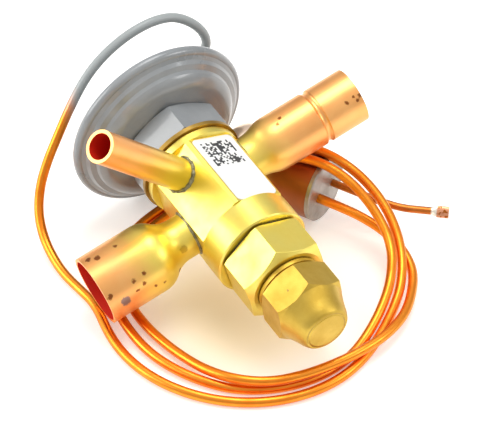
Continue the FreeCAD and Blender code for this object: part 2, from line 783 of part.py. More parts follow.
def bulb_point(along, side, drop):
    """A point near the bulb's plug: ahead of its face, to its left and down."""
    heading = math.radians(bulb_heading_deg)
    x = bulb_x + along * math.cos(heading) - side * math.sin(heading)
    y = bulb_y + along * math.sin(heading) + side * math.cos(heading)
    return (x, y, bulb_radius - drop)


def make_sensing_bulb():
    """Drawn tube closed by a spun dome at its far end."""
    foot = -plug_rim - bulb_edge
    back = -bulb_straight
    inner_radius = bulb_radius - bulb_wall
    inner_corner = bulb_corner - bulb_wall
    turn_radius = bulb_radius - bulb_corner
    half = math.sqrt(0.5)
    outer_middle = (turn_radius + bulb_corner * half, back - bulb_corner * half)
    inner_middle = (turn_radius + inner_corner * half, back - inner_corner * half)
    shell = turned([
        (inner_radius, foot), (bulb_radius, foot), (bulb_radius, back),
        (outer_middle, (turn_radius, back - bulb_corner)), (0, back - bulb_corner - bulb_nose),
        (0, back - inner_corner - bulb_nose), (turn_radius, back - inner_corner),
        (inner_middle, (inner_radius, back))])
    return on_bulb(shell)


def make_bulb_end_plug():
    """Plug with a rim, brazed into the open end, with holes for two tubes."""
    spigot_radius = bulb_radius - bulb_wall - hole_gap
    plug = turned([
        (0, -plug_rim - plug_seat_depth), (spigot_radius, -plug_rim - plug_seat_depth),
        (spigot_radius, -plug_rim - bulb_edge + hole_gap), (bulb_radius, -plug_rim - bulb_edge + hole_gap),
        (bulb_radius, -bulb_edge), (bulb_radius - bulb_edge, 0), (0, 0)])
    plug = on_bulb(plug)
    heading = math.radians(bulb_heading_deg)
    direction = FreeCAD.Vector(math.cos(heading), math.sin(heading), 0)
    depth = plug_rim + plug_seat_depth
    for side, radius in ((1, charge_radius), (-1, capillary_radius)):
        foot = FreeCAD.Vector(*bulb_point(-2 * depth, side * plug_hole_side, plug_hole_drop))
        plug = plug.cut(Part.makeCylinder(radius + hole_gap, 3 * depth, foot, direction))
    return plug


def coil_points():
    """The stations of the coil, read from its table at even steps."""
    points = []
    first, last = coil_stations[0], coil_stations[-1]
    steps = round((last[0] - first[0]) / coil_step_deg)
    for step in range(steps + 1):
        turned_deg = step * coil_step_deg
        for low, high in zip(coil_stations, coil_stations[1:]):
            if low[0] <= turned_deg <= high[0]:
                share = (turned_deg - low[0]) / (high[0] - low[0])
                radius = low[1] + share * (high[1] - low[1])
                height = low[2] + share * (high[2] - low[2])
                break
        angle = math.radians(coil_start_deg + turned_deg)
        points.append((coil_x + radius * math.cos(angle), coil_y + radius * math.sin(angle), height))
    return points


def capillary_points():
    """The whole route of the capillary, from the head to the bulb."""
    end = [
        bulb_point(bulb_lead_out, -plug_hole_side, plug_hole_drop),
        bulb_point(-plug_rim - tube_seat_depth, -plug_hole_side, plug_hole_drop)]
    return head_route + coil_points() + bulb_route + end


def charge_points():
    """The route of the charge tube, from the plug to its crimp."""
    return [bulb_point(-plug_rim - tube_seat_depth, plug_hole_side, plug_hole_drop)] + charge_route


def route_wire(points, name):
    """Straight runs joined by tangent arcs, through a list of corners."""
    corners = [FreeCAD.Vector(*place) for place in points]
    edges = []
    radii = []
    here = corners[0]
    for before, corner, after in zip(corners, corners[1:], corners[2:]):
        way_in = (corner - before).normalize()
        way_out = (after - corner).normalize()
        half_turn = way_in.getAngle(way_out) / 2
        cut = bend_share * min((corner - before).Length, (after - corner).Length)
        bend = cut / math.tan(half_turn)
        start = corner - way_in * cut
        end = corner + way_out * cut
        middle = corner + (way_out - way_in).normalize() * (bend / math.cos(half_turn) - bend)
        edges.append(Part.LineSegment(here, start).toShape())
        edges.append(Part.Arc(start, middle, end).toShape())
        radii.append(round(bend, 1))
        here = end
    edges.append(Part.LineSegment(here, corners[-1]).toShape())
    print(name, "bend radii", radii)
    return Part.Wire(edges)


def make_tube(points, radius, name):
    """Round tube swept along a route, with its volume compared."""
    wire = route_wire(points, name)
    start = FreeCAD.Vector(*points[0])
    way = FreeCAD.Vector(*points[1]) - start
    section = Part.Wire(Part.makeCircle(radius, start, way))
    tube = wire.makePipeShell([section], True, False)
    expected = math.pi * radius * radius * wire.Length
    print(name, "length", round(wire.Length, 1))
    print(name, "volume", round(tube.Volume, 1), "expected", round(expected, 1))
    return tube


def make_charge_tube():
    """Short tube with a flattened and closed end."""
    points = charge_points()
    tube = make_tube(points, charge_radius, "charge_tube")
    end = FreeCAD.Vector(*points[-1])
    way = (end - FreeCAD.Vector(*points[-2])).normalize()
    level = way.cross(z_axis).normalize()
    turn = FreeCAD.Rotation(way, crimp_tilt_deg)
    wide = turn.multVec(level)
    flare_end = end + way * crimp_flare
    round_section = Part.Wire(Part.makeCircle(charge_radius, end, way))
    ellipse = Part.Ellipse(
        flare_end + wide * crimp_half_width, flare_end + way.cross(wide) * crimp_half_thickness, flare_end)
    flat_section = Part.Wire(ellipse.toShape())
    flare = Part.makeLoft([round_section, flat_section], True)
    crimp = Part.Face(flat_section).extrude(way * crimp_length)
    return tube.fuse(flare).fuse(crimp).removeSplitter()


def build():
    """Makes every piece and returns them by name."""
    body = make_valve_body()
    equalizer_radius = equalizer_bore_radius + equalizer_wall
    valve = {
        "valve_body": body,
        "outlet_fitting": make_outlet_fitting(),
        "inlet_fitting": make_inlet_fitting(),
        "equalizer_tube": make_equalizer_tube(),
        "outlet_braze_ring": make_braze_ring(outlet_neck_radius, outlet_azimuth, outlet_height, body),
        "inlet_braze_ring": make_braze_ring(inlet_neck_radius, inlet_azimuth, inlet_height, body),
        "equalizer_braze_ring": make_braze_ring(equalizer_radius, equalizer_azimuth, equalizer_height, body),
        "seat_orifice": make_seat_orifice(),
        "valve_pin": make_valve_pin(),
        "pin_carrier": make_pin_carrier(),
        "push_rod_front": make_push_rod(1),
        "push_rod_back": make_push_rod(-1),
        "buffer_plate": make_buffer_plate(),
        "superheat_spring": make_superheat_spring(),
        "spring_seat": make_spring_seat(),
        "adjusting_stem": make_adjusting_stem(),
        "stem_packing": make_stem_packing(),
        "packing_follower": make_packing_follower(),
        "bottom_nut": make_bottom_nut(),
        "housing_gasket": make_housing_gasket(),
        "seal_cap": make_seal_cap(),
        "body_gasket": make_body_gasket(),
        "head_hub": make_head_hub(),
        "lower_casing": make_lower_casing(),
        "upper_casing": make_upper_casing(),
        "diaphragm": make_diaphragm(),
        "capillary_ferrule": make_capillary_ferrule(),
        "identification_label": make_identification_label(),
        "inlet_strainer": make_inlet_strainer(),
    }
    pieces = {name: laid_down(shape) for name, shape in valve.items()}
    pieces["capillary_tube"] = make_tube(capillary_points(), capillary_radius, "capillary_tube")
    pieces["sensing_bulb"] = make_sensing_bulb()
    pieces["bulb_end_plug"] = make_bulb_end_plug()
    pieces["charge_tube"] = make_charge_tube()
    return pieces


def main():
    """Writes one file for each piece."""
    os.makedirs("parts", exist_ok=True)
    for name, shape in build().items():
        shape.exportStep("parts/" + name + ".step")
        print(name, len(shape.Solids), shape.isValid(), round(shape.Volume, 2))


main()
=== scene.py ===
"""Dresses the expansion valve: finishes, capillary, solder beads, sticker, light and camera."""

import json
import logging
import math
import random
from dataclasses import dataclass, field
from enum import Enum

import bmesh
import bpy
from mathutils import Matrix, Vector

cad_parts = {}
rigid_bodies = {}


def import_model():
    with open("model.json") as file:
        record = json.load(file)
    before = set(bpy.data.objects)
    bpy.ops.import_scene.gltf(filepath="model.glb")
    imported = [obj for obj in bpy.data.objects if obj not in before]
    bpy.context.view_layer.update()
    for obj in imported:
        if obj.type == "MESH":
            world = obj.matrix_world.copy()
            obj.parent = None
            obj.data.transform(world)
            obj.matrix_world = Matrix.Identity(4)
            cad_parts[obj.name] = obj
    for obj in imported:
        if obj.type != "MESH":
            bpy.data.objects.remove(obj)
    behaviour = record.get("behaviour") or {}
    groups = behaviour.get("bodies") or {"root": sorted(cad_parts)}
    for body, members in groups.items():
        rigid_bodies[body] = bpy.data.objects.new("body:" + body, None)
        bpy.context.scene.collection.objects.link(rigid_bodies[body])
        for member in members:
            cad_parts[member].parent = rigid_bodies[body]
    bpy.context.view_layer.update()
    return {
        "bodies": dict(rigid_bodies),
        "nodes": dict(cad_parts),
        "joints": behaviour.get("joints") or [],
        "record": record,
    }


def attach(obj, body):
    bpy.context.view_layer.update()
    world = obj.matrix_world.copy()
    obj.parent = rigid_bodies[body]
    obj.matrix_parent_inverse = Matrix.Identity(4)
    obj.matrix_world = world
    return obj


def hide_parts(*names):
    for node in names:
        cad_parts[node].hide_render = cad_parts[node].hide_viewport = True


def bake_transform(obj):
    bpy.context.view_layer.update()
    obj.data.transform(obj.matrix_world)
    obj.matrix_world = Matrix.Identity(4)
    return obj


LOG = logging.getLogger("valve")

Colour = tuple[float, float, float]
Place = tuple[float, float, float]
Socket = bpy.types.NodeSocket

MM = 0.001
VALVE = "valve"
CAP = "cap"

# The valve's own directions in the shared frame, and its middle
CENTRE = Vector((-0.0012, -0.0021, 0.020418))
OUTLET_WAY = Vector((-0.022539, -0.968583, -0.247666))
RAISED_WAY = Vector((0.087785, -0.24869, 0.964597))
HEAD_WAY = Vector((-0.995884, 0.0, 0.090633))

# Heights of the side ports over the valve's middle in millimetres, and the equalizer's azimuth in degrees
INLET_HEIGHT = 9.5
EQUALIZER_HEIGHT = 9.4
EQUALIZER_AZIMUTH = 57.5

# Vector operations whose result is a single value
SCALAR_RESULTS = ("LENGTH", "DISTANCE", "DOT_PRODUCT")
# Places of the colour sockets on Blender's Mix node
MIX_LOW, MIX_HIGH, MIX_RESULT = 6, 7, 2


def valve_point(x: float, y: float, z: float) -> Vector:
    """Turns a place on the upright valve, in millimetres, into the shared frame.

    Args:
        x: Distance towards the outlet.
        y: Distance sideways.
        z: Distance towards the power head.

    Returns:
        The place in metres.
    """
    return CENTRE + (OUTLET_WAY * x + RAISED_WAY * y + HEAD_WAY * z) * MM


def port_way(azimuth: float) -> Vector:
    """Direction of a port on the valve's side.

    Args:
        azimuth: Angle round the valve's axis in degrees, from the outlet.

    Returns:
        The direction, out of the body.
    """
    angle = math.radians(azimuth)
    return OUTLET_WAY * math.cos(angle) + RAISED_WAY * math.sin(angle)


class Bead(Enum):
    """The three solder beads, by the node each one replaces."""

    OUTLET = "outlet_braze_ring"
    INLET = "inlet_braze_ring"
    EQUALIZER = "equalizer_braze_ring"


class Wear(Enum):
    """How much a brass surface has been handled."""

    MACHINED = 0.25
    FORGED = 0.8


# ---- shader building


class Graph:
    """A node tree, with short calls that add nodes and feed their inputs."""

    def __init__(self, tree: bpy.types.NodeTree) -> None:
        """Takes over a tree.

        Args:
            tree: The tree that gets the nodes.
        """
        self.tree = tree

    def feed(self, socket: Socket, value: object) -> None:
        """Links an output to an input, or sets the input's constant.

        Args:
            socket: The input.
            value: An output, a number, a vector or a colour without its alpha.
        """
        if isinstance(value, Socket):
            self.tree.links.new(value, socket)
        elif socket.type == "RGBA":
            socket.default_value = (*value, 1.0)
        else:
            socket.default_value = value

    def add(self, kind: str, feeds: dict | None = None, **values: object) -> bpy.types.Node:
        """Adds a node, sets its properties and feeds its inputs.

        Args:
            kind: Blender's name of the node type, less its ShaderNode.
            feeds: What goes into its inputs, by name or number.
            **values: Properties of the node.

        Returns:
            The new node.
        """
        node = self.tree.nodes.new("ShaderNode" + kind)
        for key, value in values.items():
            setattr(node, key, value)
        for key, value in (feeds or {}).items():
            self.feed(node.inputs[key], value)
        return node

    def math(self, operation: str, *feeds: object, clamp: bool = False) -> Socket:
        """Adds a math node.

        Args:
            operation: Blender's name of the operation.
            *feeds: What goes into its inputs, in order.
            clamp: Whether the result is kept from 0 to 1.

        Returns:
            The node's output.
        """
        return self.add("Math", dict(enumerate(feeds)), operation=operation, use_clamp=clamp).outputs[0]

    def vector(self, operation: str, *feeds: object) -> Socket:
        """Adds a vector math node.

        Args:
            operation: Blender's name of the operation.
            *feeds: What goes into its inputs, in order.

        Returns:
            The output that the operation uses.
        """
        node = self.add("VectorMath", dict(enumerate(feeds)), operation=operation)
        return node.outputs["Value" if operation in SCALAR_RESULTS else "Vector"]

    def noise(self, place: Socket, scale: object, **values: float) -> Socket:
        """Adds a noise texture.

        Args:
            place: Where it is looked up.
            scale: How fine it is.
            **values: Constants of its other inputs.

        Returns:
            The noise's value.
        """
        return self.add("TexNoise", {"Vector": place, "Scale": scale, **values}).outputs[0]

    def fade(self, value: Socket, start: object, end: object, falling: bool = False) -> Socket:
        """Adds a smooth step between two values.

        Args:
            value: The output that it follows.
            start: Where it starts.
            end: Where it ends.
            falling: Whether it falls from 1 to 0 instead of rising.

        Returns:
            The step's output.
        """
        ends = {"To Min": 1.0, "To Max": 0.0} if falling else {}
        feeds = {"Value": value, "From Min": start, "From Max": end, **ends}
        return self.add("MapRange", feeds, interpolation_type="SMOOTHSTEP").outputs["Result"]

    def span(self, share: Socket, low: float, high: float) -> Socket:
        """Turns a share into a number between two ends.

        Args:
            share: Output from 0 to 1.
            low: Number at 0.
            high: Number at 1.

        Returns:
            The number's output.
        """
        return self.add("MapRange", {"Value": share, "To Min": low, "To Max": high}).outputs["Result"]

    def mix(self, share: Socket, low: object, high: object) -> Socket:
        """Mixes two colours.

        Args:
            share: Output that gives the share of the second colour.
            low: First colour, or an output that gives it.
            high: Second colour, or an output that gives it.

        Returns:
            The mixed colour's output.
        """
        feeds = {"Factor": share, MIX_LOW: low, MIX_HIGH: high}
        return self.add("Mix", feeds, data_type="RGBA").outputs[MIX_RESULT]

    def place(self) -> Socket:
        """Position in the shared frame, in metres."""
        return self.add("TexCoord").outputs["Object"]


class Group(Graph):
    """A shader group that several finishes share, whose outputs are all single values."""

    def __init__(self, name: str, **inputs: float | None) -> None:
        """Makes a group with a place and other inputs.

        Args:
            name: The group's name.
            **inputs: Default values of its inputs; None stands for a vector.
        """
        super().__init__(bpy.data.node_groups.new(name, "ShaderNodeTree"))
        for key, value in {"Place": None, **inputs}.items():
            kind = "NodeSocketVector" if value is None else "NodeSocketFloat"
            socket = self.tree.interface.new_socket(key, in_out="INPUT", socket_type=kind)
            if value is not None:
                socket.default_value = value
        self.inputs = self.tree.nodes.new("NodeGroupInput").outputs

    def offset(self, start: str = "Start") -> Socket:
        """Way from a point to the place that is shaded."""
        return self.vector("SUBTRACT", self.inputs["Place"], self.inputs[start])

    def finish(self, **outputs: Socket) -> bpy.types.NodeTree:
        """Gives the group its outputs.

        Args:
            **outputs: What each output carries.

        Returns:
            The finished group.
        """
        for key in outputs:
            self.tree.interface.new_socket(key, in_out="OUTPUT", socket_type="NodeSocketFloat")
        last = self.tree.nodes.new("NodeGroupOutput")
        for key, value in outputs.items():
            self.feed(last.inputs[key], value)
        return self.tree


class Effects:
    """The shader groups that several finishes share."""

    def __init__(self) -> None:
        """Builds every group once."""
        self.grain = self._grain()
        self.turning = self._turning()
        self.spots = self._spots()
        self.along = self._along()
        self.bore_reflection_mask = self._bore_reflection_mask()
        self.ring = self._ring()
        self.stain = self._stain()

    @staticmethod
    def _grain() -> bpy.types.NodeTree:
        """Fine grain and broad cloudiness of a surface."""
        group = Group("surface grain", Fine=9000.0, Broad=120.0, Contrast=0.5)
        given = group.inputs
        fine = group.noise(given["Place"], given["Fine"], Detail=4.0)
        broad = group.noise(given["Place"], given["Broad"], Detail=5.0, Roughness=0.6)
        centred = group.math("SUBTRACT", broad, 0.5)
        gain = group.math("MULTIPLY", given["Contrast"], 4.0)
        cloud = group.math("MULTIPLY_ADD", centred, gain, 0.5, clamp=True)
        return group.finish(Height=fine, Cloud=cloud)

    @staticmethod
    def _turning() -> bpy.types.NodeTree:
        """Fine rings that a lathe leaves, across an axis through a point."""
        group = Group("turning rings", Start=None, Way=None, Scale=1800.0)
        reach = group.vector("DOT_PRODUCT", group.offset(), group.inputs["Way"])
        feeds = {"W": reach, "Scale": group.inputs["Scale"], "Detail": 3.0}
        return group.finish(Height=group.add("TexNoise", feeds, noise_dimensions="1D").outputs[0])

    @staticmethod
    def _spots() -> bpy.types.NodeTree:
        """Scattered round spots, with a mask that is 1 inside a spot."""
        group = Group("small spots", Scale=160.0, Size=0.16, Amount=0.5)
        given = group.inputs
        wobble = group.add("TexNoise", {"Vector": given["Place"], "Scale": 900.0}).outputs["Color"]
        shift = group.add("VectorMath", {0: wobble, "Scale": 0.0012}, operation="SCALE").outputs["Vector"]
        moved = group.vector("ADD", given["Place"], shift)
        cells = group.add("TexVoronoi", {"Vector": moved, "Scale": given["Scale"]}).outputs
        chance = group.add("SeparateColor", {"Color": cells["Color"]}).outputs
        size = group.math("MULTIPLY", chance["Green"], given["Size"])
        near = group.math("LESS_THAN", cells["Distance"], size)
        picked = group.math("LESS_THAN", chance["Red"], given["Amount"])
        return group.finish(Mask=group.math("MULTIPLY", near, picked))

    @staticmethod
    def _along() -> bpy.types.NodeTree:
        """Share of the way between two distances along an axis, with a ragged edge."""
        group = Group("share along axis", Start=None, Way=None, From=0.0, To=0.01, Ragged=0.002)
        given = group.inputs
        reach = group.vector("DOT_PRODUCT", group.offset(), given["Way"])
        noise = group.noise(given["Place"], 260.0)
        ragged = group.math("MULTIPLY_ADD", noise, given["Ragged"], reach)
        return group.finish(Share=group.fade(ragged, given["From"], given["To"]))

    @staticmethod
    def _ring() -> bpy.types.NodeTree:
        """Mask that is 1 on a thin ring round an axis."""
        group = Group("ring round an axis", Start=None, Way=None, Radius=0.005, Width=0.0003)
        given = group.inputs
        offset = group.offset()
        radius = group.vector("DISTANCE", offset, group.vector("PROJECT", offset, given["Way"]))
        away = group.math("ABSOLUTE", group.math("SUBTRACT", radius, given["Radius"]))
        return group.finish(Mask=group.fade(away, 0.0, given["Width"], falling=True))

    @staticmethod
    def _stain() -> bpy.types.NodeTree:
        """Mask of one stain with a ragged edge, round a point."""
        group = Group("single stain", Middle=None, Stretch=None, Size=0.001)
        given = group.inputs
        reach = group.vector("LENGTH", group.vector("MULTIPLY", group.offset("Middle"), given["Stretch"]))
        ragged = group.math("MULTIPLY_ADD", group.noise(given["Place"], 1400.0), 0.0011, reach)
        edge = group.math("MULTIPLY", given["Size"], 1.45)
        return group.finish(Mask=group.fade(ragged, given["Size"], edge, falling=True))

    @staticmethod
    def _bore_reflection_mask() -> bpy.types.NodeTree:
        """Mask that is 1 where a surface faces a tube's axis, on the tube's bore, which gets a painted reflection.
        """
        group = Group("inside of a tube", Start=None, Way=None)
        offset = group.offset()
        outward = group.vector("SUBTRACT", offset, group.vector("PROJECT", offset, group.inputs["Way"]))
        normal = group.add("NewGeometry").outputs["True Normal"]
        facing = group.vector("DOT_PRODUCT", group.vector("NORMALIZE", outward), normal)
        return group.finish(Mask=group.math("LESS_THAN", facing, -0.25))


class Shader(Graph):
    """A material's node tree round its Principled shader."""

    def __init__(self, name: str, effects: Effects) -> None:
        """Starts an empty material with a Principled shader.

        Args:
            name: The material's name.
            effects: The shared shader groups.
        """
        self.material = bpy.data.materials.new(name)
        self.material.use_nodes = True
        super().__init__(self.material.node_tree)
        self.principled = self.tree.nodes["Principled BSDF"]
        self.effects = effects

    def effect(self, group: bpy.types.NodeTree, **values: object) -> bpy.types.bpy_prop_collection:
        """Adds a shared group.

        Args:
            group: The group to use.
            **values: Values of its inputs.

        Returns:
            The group's outputs, by name.
        """
        return self.add("Group", {"Place": self.place(), **values}, node_tree=group).outputs

    def set(self, **values: object) -> None:
        """Feeds the Principled shader; an underscore stands for a space."""
        for key, value in values.items():
            self.feed(self.principled.inputs[key.replace("_", " ")], value)

    def bump(self, height: Socket, strength: float, distance: float) -> None:
        """Adds a bump to the shader's normal, on top of any bump already there.

        Args:
            height: Output that gives the height, from 0 to 1.
            strength: Strength of the bump.
            distance: Depth of the bump in metres.
        """
        bump = self.add("Bump", {"Strength": strength, "Distance": distance, "Height": height})
        normal = self.principled.inputs["Normal"]
        if normal.links:
            self.feed(bump.inputs["Normal"], normal.links[0].from_socket)
        self.feed(normal, bump.outputs["Normal"])


class Palette:
    """Colours that several finishes use."""

    STAIN: Colour = (0.30, 0.10, 0.03)
    OLD_STAIN: Colour = (0.30, 0.22, 0.20)
    COPPER: Colour = (1.0, 0.42, 0.125)


# ---- finishes


@dataclass(frozen=True)
class Finish:
    """A procedural finish; each kind says in dress what it looks like."""

    name: str

    def build(self, effects: Effects) -> bpy.types.Material:
        """Builds the material.

        Args:
            effects: The shared shader groups.

        Returns:
            The finished material.
        """
        shader = Shader(self.name, effects)
        self.dress(shader)
        return shader.material

    def dress(self, shader: Shader) -> None:
        """Adds the finish's own nodes.

        Args:
            shader: The shader that gets them.
        """
        raise NotImplementedError


@dataclass(frozen=True)
class BrassFinish(Finish):
    """Bare yellow brass, turned or forged."""

    bright: Colour = (0.90, 0.76, 0.19)
    deep: Colour = (0.80, 0.62, 0.105)
    spot: Colour = (0.33, 0.22, 0.06)
    wear: Wear = Wear.MACHINED
    roughness: float = 0.30
    fine: float = 7000.0
    ring_radius: float = 0.0

    def dress(self, shader: Shader) -> None:
        """Adds cloudy brass, dark spots, grain, lathe rings and the rim line."""
        effects, wear = shader.effects, self.wear.value
        axis = {"Start": tuple(CENTRE), "Way": tuple(HEAD_WAY)}
        grain = shader.effect(effects.grain, Fine=self.fine, Broad=150.0, Contrast=0.3 + 0.5 * wear)
        spots = shader.effect(effects.spots, Scale=210.0, Size=0.10, Amount=0.25 * wear)
        colour = shader.mix(spots["Mask"], shader.mix(grain["Cloud"], self.bright, self.deep), self.spot)
        rough = shader.span(grain["Cloud"], self.roughness, self.roughness + 0.16)
        shader.set(Base_Color=colour, Roughness=rough, Metallic=1.0)
        shader.bump(grain["Height"], 0.15 + 0.5 * wear, 0.00006)
        rings = shader.effect(effects.turning, **axis, Scale=2600.0)
        shader.bump(rings["Height"], 0.18 * (1.0 - wear), 0.00005)
        if self.ring_radius > 0.0:
            ring = shader.effect(effects.ring, **axis, Radius=self.ring_radius, Width=0.0005)
            shader.bump(ring["Mask"], 1.0, -0.0003)


@dataclass(frozen=True)
class Stain:
    """One stain on a tube: its middle and size in millimetres, and its colour."""

    middle: Place
    size: float
    colour: Colour = Palette.STAIN
    stretch: Place = (1.0, 1.0, 1.0)


@dataclass(frozen=True)
class TubeFinish(Finish):
    """Copper tube with a brass yellow heat tint near its solder joint; on the sensing bulb the same two colours
    are painted shade at its plug end and painted light on its lit rear.
    """

    start: Place
    way: Place
    tint_and_shade_from: float
    tint_and_shade_to: float
    spot_amount: float = 0.35
    stains: tuple[Stain, ...] = ()
    copper: Colour = Palette.COPPER
    tint_and_shade: Colour = (0.95, 0.74, 0.145)
    # Deep red painted reflection and shade for the bore, standing for light that the copper bounces round within
    # the tube.
    bore_reflection: Colour = (0.72, 0.03, 0.012)
    spot: Colour = (0.35, 0.12, 0.04)

    def dress(self, shader: Shader) -> None:
        """Adds copper with its heat tint, which on the bulb is painted shade and painted light, then spots,
        stains, and a painted red reflection with shade in the bore.
        """
        effects = shader.effects
        axis = {"Start": self.start, "Way": self.way}
        share = shader.effect(effects.along, **axis, From=self.tint_and_shade_from, To=self.tint_and_shade_to, Ragged=0.004)
        grain = shader.effect(effects.grain, Fine=5200.0, Broad=95.0, Contrast=0.45)
        pale = tuple(min(1.0, part * 1.18 + 0.05) for part in self.copper)
        fresh = shader.mix(grain["Cloud"], self.copper, pale)
        # On the tubes this is the heat tint near the joint; on the bulb it is painted shade, with the pale copper
        # as painted light.
        colour = shader.mix(share["Share"], self.tint_and_shade, fresh)
        spots = shader.effect(effects.spots, Scale=190.0, Size=0.24, Amount=self.spot_amount)
        colour = shader.mix(spots["Mask"], colour, self.spot)
        for stain in self.stains:
            middle = tuple(part * MM for part in stain.middle)
            mark = shader.effect(effects.stain, Middle=middle, Stretch=stain.stretch, Size=stain.size * MM)
            colour = shader.mix(mark["Mask"], colour, stain.colour)
        # Painted reflection and shade: the bore is coloured deep red and made less metallic, for light bounced
        # round within the copper tube.
        bore_reflection_mask = shader.effect(effects.bore_reflection_mask, **axis)
        colour = shader.mix(bore_reflection_mask["Mask"], colour, self.bore_reflection)
        rough = shader.span(grain["Cloud"], 0.30, 0.44)
        shader.set(Base_Color=colour, Roughness=rough, Metallic=shader.span(bore_reflection_mask["Mask"], 1.0, 0.15))
        shader.bump(grain["Height"], 0.18, 0.00004)


@dataclass(frozen=True)
class CapillaryFinish(Finish):
    """Bright copper capillary, painted grey where it leaves the head."""

    name: str = "capillary copper"
    copper: Colour = (0.97, 0.35, 0.04)
    dark: Colour = (0.82, 0.20, 0.015)
    paint: Colour = (0.34, 0.365, 0.365)
    fade_from: float = -0.0225
    fade_to: float = -0.0165
    head_x: float = -0.034

    def dress(self, shader: Shader) -> None:
        """Adds cloudy copper, and paint on the stretch behind and beside the head."""
        along, middle = shader.effects.along, (0.0, 0.0, 0.0)
        grain = shader.effect(shader.effects.grain, Fine=6500.0, Broad=130.0, Contrast=0.5)
        side = shader.effect(
            along, Start=middle, Way=(0.0, 1.0, 0.0), From=self.fade_from, To=self.fade_to, Ragged=0.003)
        back = shader.effect(
            along, Start=middle, Way=(-1.0, 0.0, 0.0), From=-self.head_x - 0.002, To=-self.head_x, Ragged=0.0)
        painted = shader.math("MULTIPLY", side["Share"], back["Share"])
        colour = shader.mix(painted, shader.mix(grain["Cloud"], self.copper, self.dark), self.paint)
        rough = shader.span(grain["Cloud"], 0.26, 0.42)
        shader.set(Base_Color=colour, Roughness=rough, Metallic=shader.span(painted, 1.0, 0.0))
        shader.bump(grain["Height"], 0.2, 0.00003)


@dataclass(frozen=True)
class CrimpFinish(Finish):
    """Brown copper tube with a bright soldered and hatched end."""

    name: str = "crimped copper"
    copper: Colour = (0.72, 0.24, 0.05)
    dark: Colour = (0.45, 0.12, 0.02)
    hatched: Colour = (0.80, 0.36, 0.20)
    solder: Colour = (0.95, 0.85, 0.72)
    start: Place = (0.01428, 0.0472, 0.008)
    way: Place = (0.643, 0.766, 0.0)

    def dress(self, shader: Shader) -> None:
        """Adds cloudy copper, then the solder and the hatched flat at the end."""
        effects = shader.effects
        axis = {"Start": self.start, "Way": self.way}
        grain = shader.effect(effects.grain, Fine=6500.0, Broad=200.0, Contrast=0.6)
        colour = shader.mix(grain["Cloud"], self.copper, self.dark)
        bright = shader.effect(effects.along, **axis, From=-0.0004, To=0.0, Ragged=0.0003)
        colour = shader.mix(bright["Share"], colour, self.solder)
        flat = shader.effect(effects.along, **axis, From=0.0010, To=0.0013, Ragged=0.0002)
        colour = shader.mix(flat["Share"], colour, self.hatched)
        hatch = shader.effect(effects.spots, Scale=1500.0, Size=0.7, Amount=1.0)
        marks = shader.math("MULTIPLY", hatch["Mask"], flat["Share"])
        rough = shader.span(grain["Cloud"], 0.30, 0.45)
        shader.set(Base_Color=shader.mix(marks, colour, self.dark), Roughness=rough, Metallic=1.0)
        shader.bump(grain["Height"], 0.2, 0.00003)
        shader.bump(marks, 0.8, -0.0002)


@dataclass(frozen=True)
class PaintFinish(Finish):
    """Semi-gloss paint over pressed steel."""

    name: str = "grey head paint"
    colour: Colour = (0.21, 0.225, 0.235)
    light: Colour = (0.30, 0.315, 0.325)
    spot: Colour = (0.45, 0.36, 0.12)

    def dress(self, shader: Shader) -> None:
        """Adds cloudy paint with a few sealant spots under a clear coat."""
        grain = shader.effect(shader.effects.grain, Fine=1500.0, Broad=70.0, Contrast=0.5)
        spots = shader.effect(shader.effects.spots, Scale=130.0, Size=0.09, Amount=0.15)
        colour = shader.mix(spots["Mask"], shader.mix(grain["Cloud"], self.colour, self.light), self.spot)
        rough = shader.span(grain["Cloud"], 0.24, 0.36)
        shader.set(Base_Color=colour, Roughness=rough, Metallic=0.0, Coat_Weight=0.6, Coat_Roughness=0.12)
        shader.bump(grain["Height"], 0.25, 0.00006)


@dataclass(frozen=True)
class MetalFinish(Finish):
    """Any other surface, from solder and stainless steel to rubber and film."""

    base: Colour
    other: Colour
    roughness: float = 0.3
    bump: float = 0.2
    broad: float = 160.0
    fine: float = 4000.0
    metallic: float = 1.0

    def dress(self, shader: Shader) -> None:
        """Adds two clouded colours and a grain."""
        grain = shader.effect(shader.effects.grain, Fine=self.fine, Broad=self.broad, Contrast=0.7)
        colour = shader.mix(grain["Cloud"], self.base, self.other)
        rough = shader.span(grain["Cloud"], self.roughness, self.roughness + 0.2)
        shader.set(Base_Color=colour, Roughness=rough, Metallic=self.metallic)
        shader.bump(grain["Height"], self.bump, 0.00008)


@dataclass(frozen=True)
class GauzeFinish(Finish):
    """Woven wire cloth: bright wires over openings coloured near black as painted shade."""

    name: str = "woven gauze"
    wire: Colour = (0.70, 0.70, 0.71)
    # Near black between the wires: painted shade for the dark space seen through the cloth.
    shaded_opening: Colour = (0.04, 0.04, 0.045)
    across: Place = tuple(RAISED_WAY)
    along: Place = tuple(HEAD_WAY)
    pitch: float = 0.0006

    def dress(self, shader: Shader) -> None:
        """Adds two crossing sets of wires."""
        grain = shader.effect(shader.effects.grain, Fine=6000.0, Broad=300.0, Contrast=0.4)
        half = self.pitch / 2
        wires = []
        for way in (self.across, self.along):
            wave = shader.math("PINGPONG", shader.vector("DOT_PRODUCT", shader.place(), way), half)
            wires.append(shader.math("DIVIDE", wave, half))
        weave = shader.math("MAXIMUM", *wires)
        colour = shader.mix(shader.fade(weave, 0.50, 0.62), self.shaded_opening, self.wire)
        shader.set(Base_Color=colour, Roughness=shader.span(grain["Cloud"], 0.28, 0.42), Metallic=1.0)
        shader.bump(weave, 0.6, 0.0001)


# ---- pieces: sizes in millimetres and degrees; merge_reach, cut_reach and the cord's length in metres


